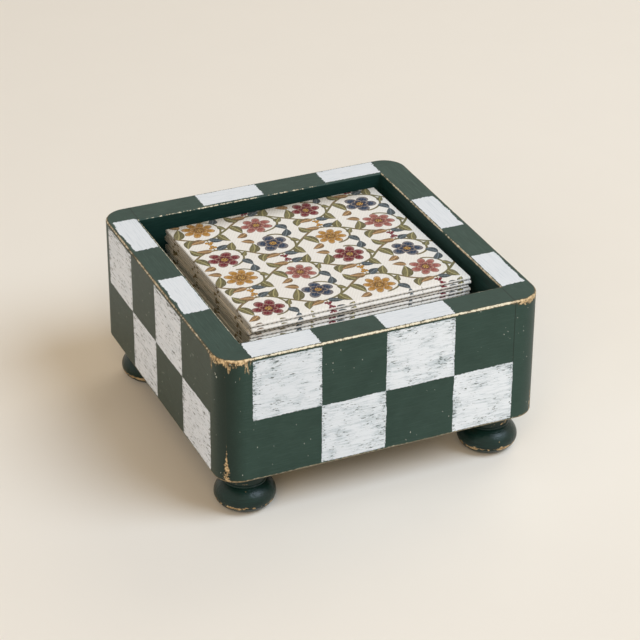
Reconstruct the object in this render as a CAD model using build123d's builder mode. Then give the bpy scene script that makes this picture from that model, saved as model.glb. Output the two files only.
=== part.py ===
from build123d import *
from math import acos, asin, cos, degrees, radians, sin
import os

# Square wooden napkin holder on turned feet, with a stack of folded paper napkins in it.
# Millimetres. The origin is on the surface it stands on, under the middle of the box.
# +Z is up, -Y is the front and +X is the right.

os.makedirs("parts", exist_ok=True)

# Napkins: folded size, thickness when folded, and how unevenly they lie
napkin_width = 126.4
napkin_depth = 116.5
napkin_thickness = 2.05
napkin_corner = 2.0
napkin_edge_round = 0.6
napkin_count = 24
napkin_drift = 0.7
napkin_twist = 0.5
stack_twist = 0.9
spread_turn = 137.5
twist_turn = 97.0

# Room left round the napkins inside the box
gap_left = 13.0
gap_right = 6.6
gap_front = 22.0
gap_back = 7.5

# Box
wall = 17.0
box_height = 71.5
corner_radius = 13.0
corner_flat = 2.0
outer_arris = 1.2
inner_arris = 0.8
bottom_arris = 1.0

# Bottom panel, held in a groove round the inside of the walls
panel_thickness = 6.0
panel_setback = 11.5
groove_depth = 5.0
groove_play = 0.1
panel_play = 0.5

# Hidden dowels in the butt joints of the walls
dowel_diameter = 8.0
dowel_in_end = 25.0
dowel_cover = 6.0
dowel_play = 0.05
dowel_end_play = 0.5

# Glue blocks under the panel
block_size = 28.0
block_chamfer = 10.0

# Turned feet
foot_inset = 19.8
bun_radius = 16.2
bun_lower = 7.3
bun_upper = 7.5
sole_radius = 10.0
shoulder_radius = 10.9
bead_radius = 11.5
bead_height = 1.4
neck_height = 9.1
neck_radius = 10.3
neck_top_radius = 13.0
ring_height = 5.4
ring_groove = 0.45
tenon_diameter = 12.0
tenon_end_play = 0.5
tenon_play = 0.05

# Sizes that follow from those above
inside_width = gap_left + napkin_width + gap_right
inside_depth = gap_front + napkin_depth + gap_back
box_width = inside_width + 2 * wall
box_depth = inside_depth + 2 * wall
corner_round = min(corner_radius, wall - corner_flat)
bun_height = bun_lower + bun_upper
foot_height = bun_height + bead_height + neck_height
body_bottom = foot_height
rim = body_bottom + box_height
panel_bottom = body_bottom + panel_setback
panel_top = panel_bottom + panel_thickness
groove_height = panel_thickness + groove_play
tenon_length = panel_setback - tenon_end_play
tenon_bore = tenon_diameter / 2 + tenon_play
dowel_in_side = wall - dowel_cover
dowel_bore = dowel_diameter / 2 + dowel_play
dowel_room = rim - panel_top - groove_play
dowel_heights = [panel_top + groove_play + dowel_room * share for share in (0.25, 0.75)]
foot_x = box_width / 2 - foot_inset
foot_y = box_depth / 2 - foot_inset

left_right = (("left", -1), ("right", 1))
front_back = (("front", -1), ("back", 1))
dowel_places = [
    ((inside_depth + wall) / 2 * side, height)
    for _, side in front_back
    for height in dowel_heights
]


# Side boards: their ends cover the ends of the front and back boards and carry the rounded corners.
for side_name, side in left_right:
    inner_face = side * inside_width / 2
    with BuildPart() as side_wall:
        with BuildSketch(Plane.XY.offset(body_bottom)):
            with Locations((side * (inside_width + wall) / 2, 0)):
                Rectangle(wall, inside_depth)
        extrude(amount=box_height)
        rim_face = side_wall.faces().sort_by(Axis.Z)[-1]
        fillet(rim_face.edges().filter_by(Axis.Y).sort_by(Axis.X)[0 if side > 0 else -1], inner_arris)
        with BuildSketch(Plane.XY.offset(body_bottom)) as end_plan:
            for _, end in front_back:
                with Locations((side * (inside_width + wall) / 2, end * (inside_depth + wall) / 2)):
                    Rectangle(wall, wall)
            outer_points = end_plan.vertices().group_by(Axis.X)[-1 if side > 0 else 0]
            outer_corners = outer_points.sort_by(Axis.Y)
            fillet([outer_corners[0], outer_corners[-1]], corner_round)
        extrude(amount=box_height)
        # The arris is softened all round the outside, but not where the other boards butt against it.
        for level, arris in ((-1, outer_arris), (0, bottom_arris)):
            flat_face = side_wall.faces().filter_by(Axis.Z).group_by(Axis.Z)[level].sort_by(SortBy.AREA)[-1]
            outside = [
                edge for edge in flat_face.edges() if (edge.center().X - inner_face) * side > inner_arris
            ]
            fillet(outside, arris)
        # Stopped groove for the bottom panel
        with BuildSketch(Plane.XY.offset(panel_bottom)):
            with Locations((inner_face, 0)):
                Rectangle(2 * groove_depth, inside_depth + 2 * groove_depth)
        extrude(amount=groove_height, mode=Mode.SUBTRACT)
        # Blind holes for the dowels
        with BuildSketch(Plane.YZ.offset(inner_face)):
            with Locations(*dowel_places):
                Circle(dowel_bore)
        extrude(amount=side * dowel_in_side, mode=Mode.SUBTRACT)
        # Part of the bore for each foot's tenon
        with BuildSketch(Plane.XY.offset(body_bottom)):
            with GridLocations(2 * foot_x, 2 * foot_y, 2, 2):
                Circle(tenon_bore)
        extrude(amount=panel_setback, mode=Mode.SUBTRACT)
    side_wall.part.label = f"{side_name}_wall"
    export_step(side_wall.part, f"parts/{side_name}_wall.step")


# Front and back boards, between the side boards
for end_name, end in front_back:
    inner_face = end * inside_depth / 2
    with BuildPart() as end_wall:
        with BuildSketch(Plane.XY.offset(body_bottom)):
            with Locations((0, end * (inside_depth + wall) / 2)):
                Rectangle(inside_width, wall)
        extrude(amount=box_height)
        rim_edges = end_wall.faces().sort_by(Axis.Z)[-1].edges().filter_by(Axis.X).sort_by(Axis.Y)
        bottom_edges = end_wall.faces().sort_by(Axis.Z)[0].edges().filter_by(Axis.X).sort_by(Axis.Y)
        outer = -1 if end > 0 else 0
        fillet(rim_edges[outer], outer_arris)
        fillet(rim_edges[-1 - outer], inner_arris)
        fillet(bottom_edges[outer], bottom_arris)
        # Groove for the bottom panel, right along the board
        with BuildSketch(Plane.XY.offset(panel_bottom)):
            with Locations((0, inner_face)):
                Rectangle(inside_width, 2 * groove_depth)
        extrude(amount=groove_height, mode=Mode.SUBTRACT)
        # Dowel holes in both ends
        for _, side in left_right:
            with BuildSketch(Plane.YZ.offset(side * inside_width / 2)):
                with Locations(*dowel_places):
                    Circle(dowel_bore)
            extrude(amount=-side * dowel_in_end, mode=Mode.SUBTRACT)
        # Part of the bore for each foot's tenon
        with BuildSketch(Plane.XY.offset(body_bottom)):
            with GridLocations(2 * foot_x, 2 * foot_y, 2, 2):
                Circle(tenon_bore)
        extrude(amount=panel_setback, mode=Mode.SUBTRACT)
    end_wall.part.label = f"{end_name}_wall"
    export_step(end_wall.part, f"parts/{end_name}_wall.step")


# Dowels: two in each of the four joints, each half in a side board and half in an end board
with BuildPart() as wall_dowels:
    for _, side in left_right:
        with BuildSketch(Plane.YZ.offset(side * (inside_width / 2 - dowel_in_end + dowel_end_play))):
            with Locations(*dowel_places):
                Circle(dowel_diameter / 2)
        extrude(amount=side * (dowel_in_end + dowel_in_side - 2 * dowel_end_play))
wall_dowels.part.label = "wall_dowels"
export_step(wall_dowels.part, "parts/wall_dowels.step")


# Bottom panel
with BuildPart() as bottom_panel:
    panel_reach = 2 * (groove_depth - panel_play)
    with BuildSketch(Plane.XY.offset(panel_bottom)):
        Rectangle(inside_width + panel_reach, inside_depth + panel_reach)
    extrude(amount=panel_thickness)
bottom_panel.part.label = "bottom_panel"
export_step(bottom_panel.part, "parts/bottom_panel.step")


# Glue blocks and turned feet, one of each at every corner
for end_name, end in front_back:
    for side_name, side in left_right:
        place = f"{end_name}_{side_name}"
        with BuildPart() as corner_block:
            with BuildSketch(Plane.XY.offset(body_bottom)) as block_plan:
                block_x = side * (inside_width - block_size) / 2
                block_y = end * (inside_depth - block_size) / 2
                with Locations((block_x, block_y)):
                    Rectangle(block_size, block_size)
                inner_corner = block_plan.vertices().sort_by_distance((0, 0, body_bottom))[0]
                chamfer(inner_corner, block_chamfer)
                with Locations((side * foot_x, end * foot_y)):
                    Circle(tenon_bore, mode=Mode.SUBTRACT)
            extrude(amount=panel_setback)
        corner_block.part.label = f"corner_block_{place}"
        export_step(corner_block.part, f"parts/corner_block_{place}.step")

        with BuildPart() as foot:
            foot_plane = Plane(origin=(side * foot_x, end * foot_y, 0), x_dir=(1, 0, 0), z_dir=(0, -1, 0))
            sole_angle = degrees(acos(sole_radius / bun_radius))
            shoulder_angle = degrees(acos(shoulder_radius / bun_radius))
            lower_axis = bun_lower / sin(radians(sole_angle))
            upper_axis = bun_upper / sin(radians(shoulder_angle))
            bead_middle = bun_height + bead_height / 2
            neck_bottom = bun_height + bead_height
            with BuildSketch(foot_plane):
                with BuildLine():
                    lower_bun = EllipticalCenterArc(
                        (0, bun_lower), bun_radius, lower_axis, start_angle=-sole_angle, arc_size=sole_angle
                    )
                    upper_bun = EllipticalCenterArc(
                        (0, bun_lower), bun_radius, upper_axis, start_angle=0, arc_size=shoulder_angle
                    )
                    bead = ThreePointArc(
                        upper_bun @ 1, (bead_radius, bead_middle), (shoulder_radius, neck_bottom)
                    )
                    neck = ThreePointArc(
                        bead @ 1,
                        (neck_radius, neck_bottom + neck_height / 2),
                        (neck_top_radius, foot_height),
                    )
                    Polyline(
                        neck @ 1,
                        (tenon_diameter / 2, foot_height),
                        (tenon_diameter / 2, foot_height + tenon_length),
                        (0, foot_height + tenon_length),
                        (0, 0),
                        lower_bun @ 0,
                    )
                make_face()
            foot_axis = Axis((side * foot_x, end * foot_y, 0), (0, 0, 1))
            revolve(axis=foot_axis)
            # Fine turned line just below the widest part of the bun
            ring_radius = bun_radius * cos(asin((bun_lower - ring_height) / lower_axis))
            with BuildSketch(foot_plane):
                with Locations((ring_radius, ring_height)):
                    Circle(ring_groove)
            revolve(axis=foot_axis, mode=Mode.SUBTRACT)
        foot.part.label = f"foot_{place}"
        export_step(foot.part, f"parts/foot_{place}.step")


# Folded napkins, stacked on the bottom panel towards the back right, each lying a little askew
stack_x = (gap_left - gap_right) / 2
stack_y = (gap_front - gap_back) / 2
for number in range(1, napkin_count + 1):
    name = "top_napkin" if number == napkin_count else f"napkin_{number:02d}"
    spread = radians(spread_turn * number)
    twist = radians(stack_twist + napkin_twist * sin(radians(twist_turn * number)))
    napkin_plane = Plane(
        origin=(
            stack_x + napkin_drift * cos(spread),
            stack_y + napkin_drift * sin(spread),
            panel_top + napkin_thickness * (number - 1),
        ),
        x_dir=(cos(twist), sin(twist), 0),
        z_dir=(0, 0, 1),
    )
    with BuildPart() as napkin:
        with BuildSketch(napkin_plane):
            RectangleRounded(napkin_width, napkin_depth, napkin_corner)
        extrude(amount=napkin_thickness)
        flat_faces = napkin.faces().filter_by(Axis.Z)
        fillet(flat_faces.edges(), napkin_edge_round)
    napkin.part.label = name
    export_step(napkin.part, f"parts/{name}.step")
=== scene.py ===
# %% [markdown]
# A painted napkin holder
#
# The object is a low square box of thick boards on four turned bun feet.
# It is painted dark green with white checks, rubbed through to the wood along its edges,
# and it holds a stack of folded, printed paper napkins.
# The CAD model gives every wooden piece its exact shape, so this lesson only dresses it:
# the wood gets painted finishes, and each plain block that stands for a napkin
# is replaced by a thin sheet that is really folded twice.

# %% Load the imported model
import math

import bpy
from mathutils import Matrix, Vector


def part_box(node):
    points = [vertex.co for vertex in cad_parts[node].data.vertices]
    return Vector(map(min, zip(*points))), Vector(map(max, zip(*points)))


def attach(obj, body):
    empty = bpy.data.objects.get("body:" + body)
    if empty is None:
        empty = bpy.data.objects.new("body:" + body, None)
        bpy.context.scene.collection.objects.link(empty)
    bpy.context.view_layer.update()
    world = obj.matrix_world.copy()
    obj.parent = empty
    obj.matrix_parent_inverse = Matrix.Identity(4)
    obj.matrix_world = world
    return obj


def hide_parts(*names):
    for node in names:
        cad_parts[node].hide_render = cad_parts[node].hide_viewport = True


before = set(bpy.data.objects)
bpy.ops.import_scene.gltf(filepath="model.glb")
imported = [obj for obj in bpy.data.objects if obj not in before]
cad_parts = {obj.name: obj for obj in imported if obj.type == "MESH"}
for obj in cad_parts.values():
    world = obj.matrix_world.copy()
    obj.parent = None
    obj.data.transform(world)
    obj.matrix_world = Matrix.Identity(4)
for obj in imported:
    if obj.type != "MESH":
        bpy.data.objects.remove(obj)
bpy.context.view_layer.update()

# %% [markdown]
# Sizes first
#
# A finish that wears along an edge has to know where the edge is.
# The numbers could be typed in again, but reading them from the model keeps paint and wood together.
# Only the radius of the upright corners is typed, because a bounding box doesn't show it.
# Everything below works in millimetres, because paint, paper and chips are easiest to judge in them.

# %% Read the box's sizes from the boards
MM = 1000.0


def span(node, axis):
    low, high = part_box(node)
    return low[axis] * MM, high[axis] * MM


half_width = span("right_wall", 0)[1]
half_inside = span("front_wall", 0)[1]
bottom_edge, rim = span("front_wall", 2)
corner_radius = 13.0
print("box half width %.1f, inside %.1f, bottom %.1f, rim %.1f mm"
      % (half_width, half_inside, bottom_edge, rim))

# %% [markdown]
# The camera
#
# The picture was taken from the front left with a long lens, looking down about thirty degrees.
# Blender's camera looks along its own -Z, so its rotation is a matrix whose columns are
# the picture's right, the picture's up and the direction back towards the camera.
# Building that matrix from angles is exact, where aiming by eye or with a constraint would drift.

# %% Place the camera
azimuth = math.radians(-23.9291)
elevation = math.radians(29.515)
roll = math.radians(0.2513)
camera_distance = 1.25084
picture_offset = Vector((-0.00261, 0.03596))

back = Vector((
    math.sin(azimuth) * math.cos(elevation),
    -math.cos(azimuth) * math.cos(elevation),
    math.sin(elevation),
))
level_right = Vector((math.cos(azimuth), math.sin(azimuth), 0.0))
level_up = back.cross(level_right)
right = level_right * math.cos(roll) + level_up * math.sin(roll)
up = level_up * math.cos(roll) - level_right * math.sin(roll)
rim_centre = Vector((0.0, 0.0, rim / MM))
eye = rim_centre + back * camera_distance - right * picture_offset.x - up * picture_offset.y

camera_data = bpy.data.cameras.new("camera")
camera_data.sensor_width = 36.0
camera_data.lens = 132.16
camera_data.clip_end = 50.0
camera = bpy.data.objects.new("camera", camera_data)
bpy.context.collection.objects.link(camera)
turn = Matrix((right, up, back)).transposed()
camera.matrix_world = Matrix.Translation(eye) @ turn.to_4x4()
bpy.context.scene.camera = camera
bpy.context.scene.view_settings.view_transform = "Standard"
print("camera at", [round(v, 3) for v in eye])

# %% [markdown]
# Shader maths as Python
#
# A painted pattern is arithmetic on positions, and arithmetic is hard to read as a web of nodes.
# This small class wraps one socket, and each operator on it adds a Math node,
# so a mask can be written as an expression such as 1 - wear * 0.5.
# Every other kind of node comes from its node method: the type, the settings, then the sockets.

# %% Wrap a socket so that expressions add nodes
class Field:
    """A socket whose value changes over a surface."""

    def __init__(self, tree, socket):
        self.tree = tree
        self.socket = socket

    def node(self, kind, settings=None, sockets=None, output=0):
        made = self.tree.nodes.new(kind)
        for name, value in (settings or {}).items():
            setattr(made, name, value)
        for key, value in (sockets or {}).items():
            if isinstance(value, Field):
                self.tree.links.new(value.socket, made.inputs[key])
            else:
                made.inputs[key].default_value = value
        return Field(self.tree, made.outputs[output]) if made.outputs else None

    def math(self, operation, *values):
        return self.node("ShaderNodeMath", {"operation": operation}, dict(enumerate(values)))

    def __add__(self, other):
        return self.math("ADD", self, other)

    def __radd__(self, other):
        return self.math("ADD", other, self)

    def __sub__(self, other):
        return self.math("SUBTRACT", self, other)

    def __rsub__(self, other):
        return self.math("SUBTRACT", other, self)

    def __mul__(self, other):
        return self.math("MULTIPLY", self, other)

    def __rmul__(self, other):
        return self.math("MULTIPLY", other, self)

    def __truediv__(self, other):
        return self.math("DIVIDE", self, other)

    def __mod__(self, other):
        return self.math("FLOORED_MODULO", self, other)

    def __pow__(self, other):
        return self.math("POWER", self, other)

    def __gt__(self, other):
        return self.math("GREATER_THAN", self, other)

    def __lt__(self, other):
        return self.math("LESS_THAN", self, other)

    def __abs__(self):
        return self.math("ABSOLUTE", self)

    def least(self, other):
        return self.math("MINIMUM", self, other)

    def most(self, other):
        return self.math("MAXIMUM", self, other)

    def floor(self):
        return self.math("FLOOR", self)

    def sqrt(self):
        return self.math("SQRT", self)

    def cos(self):
        return self.math("COSINE", self)

    def ease(self, low, high):
        """0 at low, 1 at high, and smooth between. It falls where low is the larger."""
        settings = {"interpolation_type": "SMOOTHSTEP"}
        return self.node("ShaderNodeMapRange", settings, {0: self, 1: low, 2: high})

    def parts(self):
        sockets = self.node("ShaderNodeSeparateXYZ", None, {0: self}).socket.node.outputs
        return [Field(self.tree, socket) for socket in sockets]

    def stretch(self, x, y, z):
        return self.node("ShaderNodeVectorMath", {"operation": "MULTIPLY"}, {0: self, 1: (x, y, z)})

    def noise(self, scale, detail=2.0, roughness=0.5):
        sockets = {"Vector": self, "Scale": scale, "Detail": detail, "Roughness": roughness}
        return self.node("ShaderNodeTexNoise", None, sockets)

    def over(self, under, paint):
        """paint laid over the colour under, where this field is 1."""
        colours = [c if isinstance(c, Field) else (*c, 1.0) for c in (under, paint)]
        sockets = {0: self, 6: colours[0], 7: colours[1]}
        return self.node("ShaderNodeMix", {"data_type": "RGBA"}, sockets, 2)


print("Field wraps a socket")

# %% Start and close a finish
def start_finish(name):
    """A new material, and the position on the object in millimetres."""
    material = bpy.data.materials.new(name)
    material.use_nodes = True
    tree = material.node_tree
    tree.nodes.clear()
    place = Field(tree, tree.nodes.new("ShaderNodeTexCoord").outputs["Object"])
    return material, place.stretch(MM, MM, MM)


def close_finish(colour, roughness, height, depth, fixed=None):
    """The shader at the end. depth is how far a height of 1 stands out, in millimetres."""
    bump_sockets = {"Height": height, "Distance": depth / MM, "Strength": 1.0}
    bump = colour.node("ShaderNodeBump", None, bump_sockets)
    sockets = {"Base Color": colour, "Roughness": roughness, "Normal": bump}
    sockets.update(fixed or {})
    shader = colour.node("ShaderNodeBsdfPrincipled", None, sockets)
    shader.node("ShaderNodeOutputMaterial", None, {"Surface": shader})
    print("finish with", len(colour.tree.nodes), "nodes")


def toned(colour, share):
    """The same colour, lighter or darker."""
    return [min(1.0, share * c) for c in colour]


# %% [markdown]
# The studio
#
# The holder stands on a plain pale floor that runs out of the picture, under soft light. Its colour is
# painted lighter to the right and darker towards the camera, a painted fall-off of light.
# A large cool lamp at the front right is the window, and it throws the soft shadow to the back left.
# A warm lamp at the front left and one at the back right stand for the lit room,
# a weak one at the left keeps that side readable, and the rest is an even glow from the world's colour.
# A picture of a real room could light it too, but a few lamps are easier to set one by one.
# They add up to about one on the floor, so a colour renders as it is written.
# Only the window shows in glossy paint, because the other lamps' reflections make the dark green too pale.

# %% Lay the floor
floor_colour = (0.86, 0.815, 0.73)
floor_reach = 8.0
floor_corners = [(-floor_reach, -floor_reach, 0), (floor_reach, -floor_reach, 0),
                 (floor_reach, floor_reach, 0), (-floor_reach, floor_reach, 0)]

floor_mesh = bpy.data.meshes.new("floor")
floor_mesh.from_pydata(floor_corners, [], [(0, 1, 2, 3)])
floor = bpy.data.objects.new("floor", floor_mesh)
bpy.context.collection.objects.link(floor)

floor_paper, place = start_finish("floor_paper")
x, y = place.parts()[:2]
# Painted light: the floor turns lighter to the right and darker towards the camera.
rightward = (x * level_right.x + y * level_right.y).ease(-350.0, 350.0)
frontward = (x * back.x + y * back.y).ease(40.0, 170.0)
painted_light_falloff = rightward * 0.2 - frontward * (rightward * 0.4 + 0.1)
floor_tone = 0.4 + painted_light_falloff + place.noise(0.02, 3.0) * 0.2
floor_tone = floor_tone.over(toned(floor_colour, 0.95), toned(floor_colour, 1.05))
close_finish(floor_tone, 0.8, place.noise(0.8), 0.02, {"Specular IOR Level": 0.15})
floor_mesh.materials.append(floor_paper)

# %% Fill the room with an even glow
# For camera and glossy rays the world takes the floor's colour, so the floor seems to go on for ever.
room_glow = (0.252, 0.200, 0.140)

world = bpy.data.worlds.new("room")
bpy.context.scene.world = world
world.use_nodes = True
world.node_tree.nodes.clear()
rays = world.node_tree.nodes.new("ShaderNodeLightPath").outputs
seen = Field(world.node_tree, rays["Is Camera Ray"])
for ray_kind in ("Is Glossy Ray", "Is Transmission Ray"):
    seen = seen.most(Field(world.node_tree, rays[ray_kind]))
glow = seen.node("ShaderNodeBackground", None, {"Color": seen.over(room_glow, floor_colour)})
glow.node("ShaderNodeOutputWorld", None, {"Surface": glow})
print("room glow", room_glow)

# %% Hang the lamps
panel_distance = 4.0
panel_size = 2.7
cool = (0.84, 1.0, 1.21)
warm = (1.26, 1.0, 0.70)
mild = (1.12, 1.0, 0.82)
blue = (0.85, 1.0, 1.3)


def light_panel(name, way, share, tint, in_gloss=False):
    """A round lamp in that direction, which gives the floor that share of its light."""
    way = Vector(way).normalized()
    data = bpy.data.lights.new(name, "AREA")
    data.shape = "DISK"
    data.size = panel_size
    data.color = tint
    data.energy = share * math.pi ** 2 * panel_distance ** 2 / way.z
    panel = bpy.data.objects.new(name, data)
    bpy.context.collection.objects.link(panel)
    panel.location = way * panel_distance
    panel.visible_glossy = in_gloss
    panel.rotation_euler = way.to_track_quat("Z", "Y").to_euler()
    print("%s of %.1f W" % (name, data.energy))


light_panel("window_light", (0.44, -0.48, 0.766), 0.515, cool, in_gloss=True)
light_panel("room_light_front", (-0.40, -0.72, 0.56), 0.175, warm)
light_panel("room_light_back", (0.6, 0.5, 0.62), 0.11, mild)
light_panel("side_light", (-0.85, -0.40, 0.34), 0.045, blue)

# %% [markdown]
# Where paint and edges lie
#
# They could be cut into the boards as separate faces, but real ones are paint with uneven edges. So
# the paint asks each point which board it is on, how far along it lies and how far down, and how
# near it is to each of the edges that hands have rubbed bare.

# %% Measure each point of the box
check_paint, place = start_finish("check_paint")
x, y, z = place.parts()
wide, deep = abs(x), abs(y)
on_front_or_back = deep > wide
along = y + (x - y) * on_front_or_back
on_front = on_front_or_back * (y < 0.0)
on_back = on_front_or_back - on_front
on_side = 1.0 - on_front_or_back
on_left = on_side * (x < 0.0)

flat_end = half_width - corner_radius
past_x = wide - flat_end
past_y = deep - flat_end
round_part = (past_x.most(0.0) ** 2.0 + past_y.most(0.0) ** 2.0).sqrt()
from_outside = corner_radius - (round_part + past_x.most(past_y).least(0.0))
from_inside = wide.most(deep) - half_inside
below_rim = rim - z

skin = 0.3
on_top = z > rim - skin
outer_face = from_outside < skin
inside_face = (from_inside < 0.4) * (below_rim > 0.7)
print("check paint measures points with", len(place.tree.nodes), "nodes")

# %% [markdown]
# The checks themselves
#
# A painter measures four columns between the joints by eye, so no two sides agree exactly.
# Each side has its own five column lines here. Counting the lines that a point has passed,
# adding one for the lower row and one for two of the sides, makes odd counts white.
# A little noise moves the point first, which gives every square its uneven brushed edge.

# %% Draw the column lines and the row line
column_lines = {
    "front": (-73.0, -35.6, 0.3, 38.8, 73.1),
    "back": (-73.0, -34.3, 1.6, 39.3, 73.4),
    "left": (-74.0, -35.0, 3.8, 39.2, 75.4),
    "right": (-72.3, -37.0, -2.0, 36.0, 73.0),
}
row_line = 60.6
slow_wander = place.noise(0.07, 1.0) - 0.5
quick_wander = place.noise(0.9, 2.0) - 0.5
uneven = slow_wander * 1.2 + quick_wander * (1.2 + on_top * 1.2)
brushed_along = along + uneven
brushed_z = z - uneven

sides = x.node("ShaderNodeCombineXYZ", None, {0: on_front, 1: on_back, 2: on_left})
passed = None
column_edge = None
for front, rear, left, right_side in zip(*column_lines.values()):
    steps = (front - right_side, rear - right_side, left - right_side)
    step = x.node("ShaderNodeVectorMath", {"operation": "DOT_PRODUCT"}, {0: sides, 1: steps}, 1)
    to_line = brushed_along - (step + right_side)
    crossed = to_line > 0.0
    passed = crossed if passed is None else passed + crossed
    nearest = abs(to_line)
    column_edge = nearest if column_edge is None else column_edge.least(nearest)
print("check lines on", len(column_lines), "sides")

# %% Fill every other square
bottom_margin = 1.3
top_margin = 1.9
rim_outer_margin = 1.2 + on_side * (1.2 + slow_wander * 4.0) + quick_wander * 1.8
rim_inner_margin = 1.1 + on_back * 0.7 - quick_wander * 1.2

within = (passed > 0.5) * (passed < 4.5)
odd = (passed + (brushed_z < row_line) + on_back + on_left) % 2.0
on_face = (from_outside < 0.5) * (brushed_z > bottom_edge + bottom_margin) * (z < rim - top_margin)
on_rim = on_top * (from_outside > rim_outer_margin) * (from_inside > rim_inner_margin)
white_square = within * odd * (on_face + on_rim)
print("white squares from %.1f to %.1f mm on the faces" % (bottom_edge + bottom_margin, rim - top_margin))

# %% [markdown]
# Dry brushing and rubbed edges
#
# On the faces the white was put on with a nearly dry brush, so the green grins through
# in short streaks along the boards, most of all beside the squares' edges.
# On the rim it is thicker and cleaner. Bare wood shows where hands and cloths rub:
# in an almost unbroken line on the upper arris, in patches on the inner one,
# at the corners and in chips. A painted mask would do for one side,
# but here each edge has a sum of two distances that is smallest on the edge,
# and noise decides how far the rub reaches, so all the edges wear by one rule.

# %% Streaks and dry brushing
board_axes = {0: along * (0.20 - on_side * 0.08), 1: z * 1.2, 2: wide.most(deep) * 1.2}
board_place = x.node("ShaderNodeCombineXYZ", None, board_axes)
streaks = board_place.noise(1.0, 4.0, 0.65)
fine_streaks = board_place.stretch(0.5, 1.3, 1.3).noise(1.0, 3.0, 0.65)
strokes = board_place.stretch(1.7, 1.15, 1.15).noise(1.0, 2.0, 0.7)
haze = board_place.stretch(0.55, 0.8, 0.8).noise(1.0, 4.0, 0.7)
patches = place.noise(0.09, 2.0)
fine = place.noise(1.3, 3.0, 0.6)
ragged = place.noise(0.5, 4.0, 0.7)
broad = place.noise(0.05, 2.0)

near_side = column_edge.ease(3.2, 0.6)
near_top = below_rim.ease(7.0, 2.0)
crowd = (patches - 0.5) * (0.5 - on_side * 0.3) + near_side * 0.035 + near_top * 0.07 + on_side * 0.035
thin_white = (haze + crowd + (fine - 0.5) * 0.25).ease(0.47, 0.64) * on_face
dots = (place.noise(0.85, 1.0) + near_side * 0.04).ease(0.685, 0.715) * column_edge.ease(2.6, 1.6)
bare_specks = (strokes + crowd).ease(0.635, 0.68).most(dots) * on_face
white_paint = white_square * (1.0 - bare_specks * 0.8)
print("dry brushing done,", len(place.tree.nodes), "nodes so far")

# %% Rubbed edges
corner_inset = half_width - 4.0
corner_x = wide - corner_inset
corner_y = y + corner_inset
corner_reach = (corner_x * corner_x + corner_y * corner_y).sqrt()
front_corner = corner_reach.ease(19.0, 7.0) * (1.0 + (x > 0.0) * 0.1)
near_corner = front_corner * (x < 0.0)
any_corner = wide.least(deep).ease(72.0, 84.0)


def rub(past_reach):
    """1 where the rub reaches the point, with a narrow soft border."""
    return past_reach.ease(0.10, -0.08)


top_edge = from_outside + below_rim
top_reach = 0.74 + (ragged - 0.5) * (0.6 + on_front * 0.5) + (broad - 0.5) * 0.5 + on_front * 0.16
rub_top = rub(top_edge - top_reach)
inner_fade = on_back * x.ease(30.0, 62.0) * 0.3
inner_reach = 0.60 - on_back * 0.14 - inner_fade + (ragged - 0.5) * 1.0 + (broad - 0.5) * 0.6
rub_inner = rub(from_inside + below_rim - inner_reach)
bottom_reach = 0.98 + (ragged - 0.5) * 1.9 + (broad - 0.5) * 0.8 + any_corner * 0.2
rub_bottom = rub(from_outside + z - bottom_edge - bottom_reach)
print("three edges rubbed")

# %% Chips at the corners, drips and flecks
chip_reach = front_corner * (ragged * 4.0 + fine - 1.6) - from_outside * 2.4 - below_rim * 0.42
rub_corner = chip_reach.ease(-0.05, 0.12)
drips = place.stretch(0.55, 0.55, 0.08).noise(1.0, 3.0, 0.7) - below_rim * 0.009
drips = drips.ease(0.545, 0.58) * near_corner * below_rim.ease(15.0, 9.0) * outer_face
off_corner = abs(wide - deep) * 0.7
climb = (z - bottom_edge).ease(24.0, 0.0) * (0.4 + near_corner * 0.6)
upright = (climb * 2.6 * (ragged * 4.4 + fine - 2.2) - off_corner).ease(-0.05, 0.25) * any_corner
flecks = place.stretch(1.0, 1.0, 0.6).noise(0.8, 1.0) + (patches - 0.5) * 0.25 + near_top * 0.02
flecks = flecks.ease(0.757, 0.782) * (1.0 - white_square) * outer_face

rubbed = rub_top.most(rub_corner).most(rub_inner).most(rub_bottom * 0.5)
rubbed = rubbed.most(drips).most(upright)
fringe = (top_edge - top_reach - 0.30).ease(0.15, -0.12)
fringe = fringe.most((chip_reach + 0.5).ease(-0.05, 0.2))
fringe = fringe.most((upright * 3.0).ease(0.0, 0.6)) * (0.25 + fine * 0.8)
print("wear done,", len(place.tree.nodes), "nodes so far")

# %% [markdown]
# Mixing the check paint
#
# The layers go on in the order of the real job: green first, with faint brush lines along the board and,
# inside the box, a darker and bluer coat that is painted shade; then the white; then the wood that shows
# where both are gone.
# Each layer is one mix over the last, which keeps the order readable and easy to change.
# The paint has a satin gloss, the wood is dull, and a low bump lets the layers stand
# a tenth of a millimetre apart.

# %% The green coat
green = (0.025, 0.055, 0.043)
deep_green = (0.016, 0.039, 0.030)
worn_green = (0.062, 0.102, 0.084)
streak_green = (0.009, 0.020, 0.015)
side_reflection_brown = (0.085, 0.070, 0.046)
side_stroke_green = (0.013, 0.026, 0.019)
corner_shade_green = (0.008, 0.019, 0.014)
inside_shade_green = (0.006, 0.026, 0.022)
inside_shade_streak_green = (0.015, 0.052, 0.045)
fleck_grey = (0.50, 0.52, 0.46)
joint_dark = (0.008, 0.014, 0.011)

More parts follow.
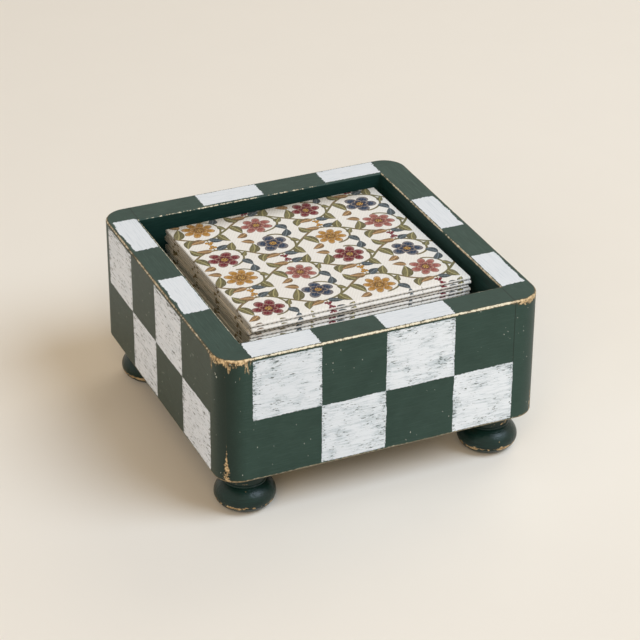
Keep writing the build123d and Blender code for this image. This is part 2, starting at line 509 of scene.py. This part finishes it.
coat = (patches * 0.5 + streaks * 0.5 + x.most(0.0) * 0.0018).ease(0.25, 0.75).over(deep_green, green)
worn_share = 0.13 + on_top * (0.26 - on_front * 0.3 - on_left * 0.2) + on_side * 0.12
coat = (fine_streaks.ease(0.51, 0.62) * worn_share).over(coat, worn_green)
coat = (fine_streaks.ease(0.42, 0.34) * on_top * 0.6).over(coat, streak_green)
# Painted reflection: the side faces are tinted lighter and browner with the warm floor's reflection.
coat = (on_side * outer_face * 0.17).over(coat, side_reflection_brown)
coat = (strokes.ease(0.50, 0.62) * on_side * outer_face * 0.45).over(coat, side_stroke_green)
# Painted shade: the rounded upright corners are darkened, the front left one most.
painted_corner_shade = wide.least(deep).ease(76.0, 86.0) * (0.25 + (x < 0.0) * (y < 0.0) * 0.55)
coat = (painted_corner_shade * outer_face).over(coat, corner_shade_green)
# Painted shade inside the box: a darker, bluer green, with fewer light streaks on the back wall.
inside_streaks = fine_streaks.ease(0.42, 0.62) * (1.0 - on_back * 0.7)
coat = (inside_face * 0.9).over(coat, inside_streaks.over(inside_shade_green, inside_shade_streak_green))
coat = (flecks * 0.85).over(coat, fleck_grey)
joint_shows = ((x > 0.0) * (z > 60.0)).most(below_rim < 0.5)
joint_line = abs(wide - half_inside).ease(0.38, 0.12) * (deep > half_inside) * joint_shows
coat = (joint_line * 0.75).over(coat, joint_dark)
print("green coat mixed")

# %% The white squares over it
white = (0.735, 0.785, 0.83)
greyer_left_white = (0.65, 0.70, 0.75)
side_lit_white = (0.82, 0.86, 0.91)
rim_white = (0.74, 0.775, 0.80)
grey_white = (0.44, 0.51, 0.55)

# The white turns greyer towards the left end of the front and back.
face_white = x.ease(70.0, -90.0).over(white, greyer_left_white)
# Painted light: the side faces take a brighter, bluer white, which lightens their shade.
ground_white = on_rim.over((on_side * on_face).over(face_white, side_lit_white), rim_white)
brush_lines = fine_streaks.ease(0.48, 0.66) * (0.28 + on_rim * 0.10)
brushed_white = brush_lines.over(ground_white, grey_white)
brushed_white = (thin_white * (0.72 - on_side * 0.5)).over(brushed_white, grey_white)
coat = white_paint.over(coat, brushed_white)
print("white squares mixed")

# %% The wood that shows through, gloss and relief
pale_wood = (0.755, 0.70, 0.53)
tan_wood = (0.33, 0.24, 0.135)
golden_wood = (0.70, 0.53, 0.30)
brown_wood = (0.27, 0.17, 0.078)
fringe_brown = (0.105, 0.068, 0.030)

coat = (fringe * 0.7).over(coat, fringe_brown)
# Painted highlight: the wood is paler along the middle of the upper arris, most at the front, and a little
# along the inner edge.
painted_arris_highlight = top_edge.ease(0.98, 0.66) * (0.04 + on_front * 0.20) + rub_inner * 0.06
chipped = front_corner.most(upright)
fresh_wood = chipped.over(pale_wood, golden_wood)
old_wood = chipped.over(tan_wood, brown_wood)
freshness_and_highlight = (painted_arris_highlight + (ragged - 0.5) * 1.6 + fine * 0.8 + 0.18).ease(0.42, 0.88)
coat = rubbed.over(coat, freshness_and_highlight.over(old_wood, fresh_wood))
gloss = 0.38 + fine_streaks * 0.14 + white_paint * 0.12 + rubbed * 0.2
relief = streaks * 0.3 + fine_streaks * 0.3 + white_paint * 0.5 - rubbed * 0.8
close_finish(coat, gloss, relief, 0.10, {"Specular IOR Level": 0.25})

# %% [markdown]
# Paint inside, on the feet, and bare wood below
#
# The bottom panel carries the same green, thinner and duller, mixed with the darker inside green that is
# painted shade.
# The feet are turned, so their brush lines run round them, and they were given a glossier coat.
# Their wear follows the turning: the bead below the neck and the fine line near the floor
# are rubbed through, so the height above the floor is enough to place it.
# The glue blocks and dowels were never painted, and show straight grain.

# %% Inside paint for the bottom panel
inside_paint, place = start_finish("inside_paint")
panel_streaks = place.stretch(0.05, 0.8, 0.8).noise(1.0, 3.0, 0.6)
panel_dust = place.noise(0.5, 3.0)
# The panel is mixed with the darker inside green, which is painted shade.
panel_colour = panel_streaks.ease(0.3, 0.7).over(inside_shade_green, green)
panel_colour = (panel_dust.ease(0.6, 0.75) * 0.3).over(panel_colour, worn_green)
close_finish(panel_colour, 0.45 + panel_streaks * 0.15, panel_streaks + panel_dust * 0.3, 0.08)

# %% Foot paint
bead_height = 17.0
ring_height = 5.4
foot_dark = (0.003, 0.0135, 0.0105)
foot_green = (0.007, 0.0255, 0.0205)

foot_paint, place = start_finish("foot_paint")
height = place.parts()[2]
turned = place.stretch(0.12, 0.12, 2.2).noise(1.0, 3.0)
fine = place.noise(1.1, 3.0, 0.6)
ragged = place.noise(0.4, 3.0, 0.65)
broad = place.noise(0.11, 2.0)
ring_rub = (abs(height - ring_height) - (ragged + broad - 0.95) * 5.0).ease(0.25, -0.1)
bead_rub = (abs(height - bead_height) - (ragged + broad - 1.16) * 4.0).ease(0.25, -0.1)
chips = (place.noise(0.6, 2.0) + (broad - 0.5) * 0.3).ease(0.775, 0.80)
rubbed = ring_rub.most(bead_rub).most(chips)
foot_colour = (turned * 0.6 + broad * 0.4).ease(0.3, 0.7).over(foot_dark, foot_green)
foot_wood = fine.ease(0.35, 0.7).over(brown_wood, golden_wood)
foot_colour = (rubbed * 0.9).over(foot_colour, foot_wood)
foot_gloss = 0.24 + turned * 0.12 + rubbed * 0.35
foot_relief = turned * 0.4 + ragged * 1.0 + fine * 0.5 - rubbed * 0.4
close_finish(foot_colour, foot_gloss, foot_relief, 0.22, {"Specular IOR Level": 0.3})

# %% Bare wood for the glue blocks and dowels
block_brown = (0.46, 0.31, 0.17)
block_pale = (0.66, 0.50, 0.31)
pore_brown = (0.30, 0.19, 0.10)

bare_wood, place = start_finish("bare_wood")
grain = place.stretch(0.5, 0.5, 0.03).noise(1.0, 4.0, 0.6)
pores = place.stretch(2.5, 2.5, 0.12).noise(1.0, 2.0)
wood_colour = grain.ease(0.3, 0.7).over(block_brown, block_pale)
wood_colour = (pores.ease(0.6, 0.75) * 0.5).over(wood_colour, pore_brown)
close_finish(wood_colour, 0.6 + grain * 0.15, grain * 0.6 + pores * 0.4, 0.12)

# %% [markdown]
# The napkins' print
#
# The napkins carry a climbing-vine print on ivory paper: a stem that swings from side to side,
# a stalk that winds in to a flower in each hollow, leaves along the stem, and berries on short stalks.
# A picture file could hold it, but a formula stays sharp and can be recoloured.
# One mirrored cell holds the whole design, so the stem joins up with itself from cell to cell.
# It is drawn on the flat sheet, in millimetres, and the mesh carries those flat positions as a UV map,
# so the print runs round the folds as it does on paper.
# A slow wobble keeps the repeats from looking ruled.

# %% Find the place on the flat sheet and in its cell
folded_width = 126.4
folded_depth = 116.5
sheet_size = (2 * folded_width, 2 * folded_depth)
cell_width = folded_width / 4
cell_depth = folded_depth / 4
wobble_reach = 5.0

printed_napkin, place = start_finish("printed_napkin")
flat = place.node("ShaderNodeUVMap", {"uv_map": "flat_sheet"})
flat = flat.node(
    "ShaderNodeVectorMath", {"operation": "MULTIPLY_ADD"},
    {0: flat, 1: (*sheet_size, 0.0), 2: (-folded_width, -folded_depth, 0.0)})
wobble = flat.node("ShaderNodeTexNoise", None, {"Vector": flat, "Scale": 0.035, "Detail": 1.0}, 1)
drawn = flat.node(
    "ShaderNodeVectorMath", {"operation": "MULTIPLY_ADD"},
    {0: wobble, 1: (wobble_reach, wobble_reach, 0.0), 2: flat})
s, t = drawn.parts()[:2]
column = s / cell_width - 0.06
row = t / cell_depth - 0.16
column_number = column.floor()
row_number = row.floor()
turned_over = 1.0 - 2.0 * ((column_number + row_number) % 2.0)
s = (column - column_number - 0.5) * cell_width
t = (row - row_number - 0.5) * cell_depth * turned_over
cell = s.node("ShaderNodeCombineXYZ", None, {0: s, 1: t})
kind = (column_number + row_number * 2.0) % 4.0
odd_kind = kind % 2.0
later_kind = kind > 1.5
print("print cell %.1f by %.1f mm" % (cell_width, cell_depth))

# %% Stem
paper = (0.85, 0.825, 0.765)
stem_brown = (0.215, 0.160, 0.085)
olive = (0.165, 0.150, 0.070)
swing = 8.8

paper_grain = flat.noise(0.9, 4.0, 0.6)
print_colour = paper_grain.ease(0.2, 0.8).over(toned(paper, 0.95), paper)
sway = (s * (math.pi / cell_width)).cos()
stem_off = abs(t - sway * swing) / (1.0 + (1.0 - sway * sway) * 0.33)
stem = (stem_off - paper_grain * 0.3).ease(0.72, 0.42)
print_colour = stem.over(print_colour, (s * 0.05 + 0.5).over(stem_brown, olive))
print("stem swings", swing, "mm")

# %% Flower stalk and berry stalk
flower_at = (0.4, -3.4)
stalk_start = 12.6
stalk_wind = 10.0
berry_stalk_at = 0.2
berry_stalk_top = 12.0

off_s = s - flower_at[0]
off_t = t - flower_at[1]
off_flower = (off_s * off_s + off_t * off_t).sqrt()
bearing = off_t.math("ARCTAN2", off_t, off_s)
wound = ((0.85 - bearing) / (2.0 * math.pi)) % 1.0
stalk_off = abs(off_flower - (stalk_start - stalk_wind * wound)) + wound.ease(0.36, 0.40) * 3.0
stalk = (stalk_off - paper_grain * 0.25).ease(0.62, 0.34)
print_colour = stalk.over(print_colour, wound.over(olive, stem_brown))
berry_stalk = abs(s - berry_stalk_at).ease(0.40, 0.18) * (t > swing) * (t < berry_stalk_top)
print_colour = berry_stalk.over(print_colour, stem_brown)
print("stalks end at the flower", flower_at)

# %% Leaves
# Each leaf: where its foot lies in the cell, its lean in degrees, its length and width, its colour.
leaf_olive = (0.200, 0.180, 0.085)
leaf_tan = (0.310, 0.195, 0.095)
leaf_slate = (0.085, 0.105, 0.115)
leaves = [
    (-8.0, 6.2, 118, 8.8, 2.7, leaf_olive),
    (-1.2, 8.8, 166, 8.6, 2.4, leaf_tan),
    (1.6, 8.6, 22, 8.2, 2.3, leaf_slate),
    (8.6, 5.6, 66, 9.0, 2.8, leaf_olive),
    (-13.2, 2.2, -70, 11.4, 2.9, leaf_olive),
    (-7.8, -9.4, 204, 7.4, 2.3, leaf_tan),
    (9.8, -7.4, -66, 8.2, 2.5, leaf_slate),
    (11.6, -4.0, 54, 6.0, 1.9, leaf_olive),
]
for foot_s, foot_t, lean, length, width, tone in leaves:
    sockets = {"Vector": cell, "Location": (foot_s, foot_t, 0.0),
               "Rotation": (0.0, 0.0, math.radians(lean)), "Scale": (length, width, 1.0)}
    u, v = cell.node("ShaderNodeMapping", {"vector_type": "TEXTURE"}, sockets).parts()[:2]
    v = v + (u - 0.5) * (u - 0.5) * 1.2 - 0.28
    blade = u.sqrt() * (1.0 - u) * 2.6 - abs(v)
    shade = (v > 0.0) * 0.45 + (u * 16.0 + abs(v) * 4.0).cos().ease(0.3, 1.0) * 0.3
    leaf_colour = shade.over(tone, toned(tone, 0.45))
    leaf_colour = abs(v).ease(0.15, 0.07).over(leaf_colour, toned(tone, 1.9))
    leaf_colour = blade.ease(0.16, 0.06).over(leaf_colour, toned(tone, 0.35))
    print_colour = blade.ease(-0.04, 0.06).over(print_colour, leaf_colour)
print(len(leaves), "leaves in a cell")

# %% Flowers
burgundy = (0.190, 0.022, 0.032)
navy = (0.034, 0.062, 0.110)
ochre = (0.500, 0.255, 0.045)
rose = (0.380, 0.125, 0.105)
shade_ink = (0.030, 0.016, 0.020)
petal_border = (0.80, 0.66, 0.52)
inner_border = (0.80, 0.62, 0.45)
seed_brown = (0.10, 0.05, 0.025)
seed_gold = (0.56, 0.33, 0.09)
flower_radius = 8.8
inner_radius = flower_radius * 0.58

petal_colour = later_kind.over(odd_kind.over(burgundy, navy), odd_kind.over(ochre, rose))
petal_count = 6.0 + 2.0 * later_kind - odd_kind
turn_of_flower = bearing * petal_count * 0.5 + kind * 0.7
veins = (turn_of_flower * 10.0).cos().ease(0.2, 1.0) * 0.22
lobes = abs(turn_of_flower.cos())
to_edge = flower_radius * (lobes ** 0.6 * 0.5 + 0.5) - off_flower
painted = (off_flower.ease(flower_radius, 1.0) * 0.5 + veins).over(petal_colour, shade_ink)
painted = (to_edge.ease(2.2, 0.6) * 0.22).over(painted, petal_border)
painted = lobes.ease(0.30, 0.06).over(painted, shade_ink)
painted = (to_edge.ease(0.55, 0.25) * 0.6).over(painted, shade_ink)
print_colour = to_edge.ease(-0.12, 0.12).over(print_colour, painted)
inner_lobes = abs((turn_of_flower + math.pi / 2).cos())
to_inner_edge = inner_radius * (inner_lobes ** 0.6 * 0.4 + 0.6) - off_flower
painted = (off_flower.ease(5.0, 1.5) * 0.7 + veins).over(petal_colour, shade_ink)
painted = (to_inner_edge.ease(1.3, 0.4) * 0.35).over(painted, inner_border)
painted = (to_inner_edge.ease(0.4, 0.2) * 0.6).over(painted, shade_ink)
print_colour = to_inner_edge.ease(-0.1, 0.1).over(print_colour, painted)
seeds = flat.noise(1.6, 0.0).ease(0.45, 0.55).over(seed_brown, seed_gold)
print_colour = off_flower.ease(2.1, 1.8).over(print_colour, seeds)
print("flowers of radius", flower_radius, "mm")

# %% Berries
berries = ((-1.0, 11.7), (1.3, 12.1), (0.1, 13.4))
for berry_s, berry_t in berries:
    berry_off = ((s - berry_s) ** 2.0 + (t - berry_t) ** 2.0).sqrt()
    berry_colour = (berry_off.ease(0.5, 1.1) * 0.6).over(odd_kind.over(ochre, burgundy), shade_ink)
    print_colour = berry_off.ease(1.15, 0.95).over(print_colour, berry_colour)
print(len(berries), "berries in a cell")

# %% [markdown]
# The paper itself
#
# Ink cracks off a fold, so the front fold is nearly bare paper.
# Between the layers the gaps hold shade: thin dark lines beside the left fold, and crimped, wavy ones
# under the front fold, and the paper near the left fold is a little darker. Modelling each crimp would
# need many more faces on every sheet, so this shade is painted, by the distance from the fold lines.
# A fine diagonal emboss covers the whole sheet; it is bumped, and tinted grey along its lines as painted
# shade.

# %% Folds, gaps and emboss of the paper
fold_shade = (0.30, 0.26, 0.20)
gap_shade_dark = (0.05, 0.042, 0.034)
emboss_shade_grey = (0.42, 0.39, 0.34)
crimp_pitch = 2.6
emboss_pitch = 1.5

flat_s, flat_t = flat.parts()[:2]
from_left_fold = abs(flat_s)
front_fold = abs(flat_t).ease(0.5, 0.35)
print_colour = (front_fold * 0.85).over(print_colour, paper)
# Painted shade: the paper darkens towards the left fold.
print_colour = (from_left_fold.ease(1.6, 0.8) * 0.2).over(print_colour, fold_shade)
# Painted shade in the thin gaps beside the left fold.
side_gap_shade = from_left_fold.ease(0.16, 0.32) * from_left_fold.ease(0.62, 0.46)
print_colour = (side_gap_shade * 0.58).over(print_colour, gap_shade_dark)
# Painted shade in the crimped gaps under the front fold.
crimp = ((flat_s + paper_grain * 1.4) * (2.0 * math.pi / crimp_pitch)).cos().ease(-0.1, 0.8)
front_gap_shade = (0.25 + crimp * 0.75) * flat_t.ease(0.12, -0.2) * (flat_t > -1.6)
print_colour = (front_gap_shade * 0.88).over(print_colour, gap_shade_dark)
# Painted shade: the paper is tinted grey along the emboss lines.
emboss = ((flat_s * 0.83 - flat_t * 0.55) * (2.0 * math.pi / emboss_pitch)).cos()
print_colour = (emboss.ease(0.2, 1.0) * 0.11).over(print_colour, emboss_shade_grey)
paper_relief = emboss * 0.6 + paper_grain * 0.6
close_finish(print_colour, 0.75 + paper_grain * 0.2, paper_relief, 0.05, {"Specular IOR Level": 0.25})

# %% [markdown]
# Folding the napkins
#
# A paper napkin is one thin sheet folded in half and in half again, and the eye reads that at its edges:
# rounded folds on two sides, loose cut layers on the other two.
# A block with lines drawn on it never looks right,
# and a cloth simulation of a hard double fold is slow and untidy. A fold is simple geometry, though:
# paper runs straight, goes round half a circle, and runs straight back.
# Doing that twice to every point of a flat grid gives the folded sheet, with the first fold at the left
# and the second at the front. The grid is close in the bends and wide on the flat.

# %% Fold a flat sheet twice
napkin_thickness = 2.05
paper_thickness = 0.36
clearance = 0.05
fold_radius = (napkin_thickness - clearance - paper_thickness) / 6
second_radius = 2 * fold_radius


def half_turn(distance, radius, offset):
    """Along and up, for a point that far from the fold line, on a layer offset from the radius."""
    if abs(distance) > radius * math.pi / 2:
        return abs(distance) - radius * math.pi / 2, math.copysign(radius + offset, distance)
    angle = distance / radius
    return -(radius + offset) * math.cos(angle), (radius + offset) * math.sin(angle)


def folded(s, t):
    width, first = half_turn(s, fold_radius, 0.0)
    depth, second = half_turn(t, second_radius, first)
    return width, depth, second


print("folds of radius %.3f and %.3f mm" % (fold_radius, second_radius))

# %% Place the grid's lines
line_spread = 1.3


def grid_lines(half_length, radius, bend_steps, flat_steps):
    """Places of the grid's lines over the sheet, from one cut edge to the other."""
    bend = radius * math.pi / 2
    inside = [bend * k / bend_steps for k in range(bend_steps + 1)]
    shares = [(k / flat_steps) ** line_spread for k in range(1, flat_steps + 1)]
    outside = [bend + (half_length - bend) * share for share in shares]
    positive = inside[1:] + outside
    return [-v for v in reversed(positive)] + [0.0] + positive


lines_s = grid_lines(folded_width, fold_radius, 3, 13)
lines_t = grid_lines(folded_depth, second_radius, 5, 12)
print("a napkin has %d by %d grid lines" % (len(lines_s), len(lines_t)))

# %% [markdown]
# Stacking the napkins
#
# A stack is never square: each napkin lies a little off and a little turned from the one below.
# Loose ones could be dropped in a simulation, but they have to stay inside the solids that move.
# The CAD model spreads them by a fixed rule, and the same rule is repeated here, so each sheet
# lies in the space of the block that it replaces. Each one rests on the sheet under it.

# %% Place each napkin where its CAD block is
napkin_count = 24
stack_centre = (3.2, 7.25)
stack_bottom = span("napkin_01", 2)[0]
drift = 0.7
drift_step = 137.5
stack_turn = 0.9
single_turn = 0.5
turn_step = 97.0


def napkin_place(number):
    way = math.radians(drift_step * number)
    twist = math.radians(stack_turn + single_turn * math.sin(math.radians(turn_step * number)))
    shift = Vector((
        stack_centre[0] + drift * math.cos(way),
        stack_centre[1] + drift * math.sin(way),
        stack_bottom + napkin_thickness * (number - 0.5),
    ))
    return Matrix.Translation(shift) @ Matrix.Rotation(twist, 4, "Z")


print("stack starts at %.2f mm" % stack_bottom)

# %% Make one napkin
# The higher a napkin lies, the more it ripples, because less weight presses on it.
ripple_height = 0.16
ripple_wide = 23.0
ripple_deep = 19.0
to_corner = Vector((
    -folded_width / 2 + fold_radius + paper_thickness / 2,
    -folded_depth / 2 + 3 * fold_radius + paper_thickness / 2,
    0.0,
))


def napkin_points(number):
    """The folded grid in its place in metres, and the same points on the flat sheet from 0 to 1."""
    place_of = napkin_place(number)
    ripple = ripple_height * number / napkin_count
    points = []
    flat_points = []
    for s in lines_s:
        for t in lines_t:
            point = Vector(folded(s, t)) + to_corner
            point.z += ripple * math.sin(point.x / ripple_wide + 1.0) * math.sin(point.y / ripple_deep)
            points.append(place_of @ point / MM)
            flat_points.append((s / sheet_size[0] + 0.5, t / sheet_size[1] + 0.5))
    return points, flat_points


def napkin_sheet(name, number):
    """One napkin as a mesh, with the flat positions as its UV map."""
    points, flat_points = napkin_points(number)
    rows = len(lines_t)
    faces = []
    for i in range(len(lines_s) - 1):
        for j in range(rows - 1):
            first = i * rows + j
            faces.append((first, first + rows, first + rows + 1, first + 1))
    mesh = bpy.data.meshes.new(name)
    mesh.from_pydata(points, [], faces)
    layer = mesh.uv_layers.new(name="flat_sheet")
    for loop in mesh.loops:
        layer.uv[loop.index].vector = flat_points[loop.vertex_index]
    mesh.shade_smooth()
    mesh.materials.append(printed_napkin)
    sheet = bpy.data.objects.new(name, mesh)
    bpy.context.collection.objects.link(sheet)
    ply = sheet.modifiers.new("paper", "SOLIDIFY")
    ply.thickness = paper_thickness / MM
    ply.offset = 0.0
    return sheet


print("each sheet is %.1f by %.1f mm" % sheet_size)

# %% Make the stack
for number in range(1, napkin_count + 1):
    is_top = number == napkin_count
    node = "top_napkin" if is_top else "napkin_%02d" % number
    sheet = napkin_sheet(node + "_sheet", number)
    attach(sheet, "single_napkin" if is_top else "napkin_stack")
    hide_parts(node)
print(napkin_count, "napkins folded and stacked")

# %% [markdown]
# Dressing the wood
#
# The wooden pieces are already the right shape, so they only change their finish.
# Each piece has material slots from the CAD record, and filling those leaves its mesh untouched.

# %% Give the wooden pieces their finishes
finishes = {
    "check_paint": check_paint,
    "inside_paint": inside_paint,
    "foot_paint": foot_paint,
    "bare_wood": bare_wood,
}
wooden = {
    "check_paint": ["front_wall", "back_wall", "left_wall", "right_wall"],
    "inside_paint": ["bottom_panel"],
    "foot_paint": [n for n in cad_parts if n.startswith("foot_")],
    "bare_wood": ["wall_dowels"] + [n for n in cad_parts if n.startswith("corner_block_")],
}
for finish, nodes in wooden.items():
    for node in nodes:
        for material_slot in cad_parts[node].material_slots:
            material_slot.material = finishes[finish]
    print(finish, "on", len(nodes), "pieces")
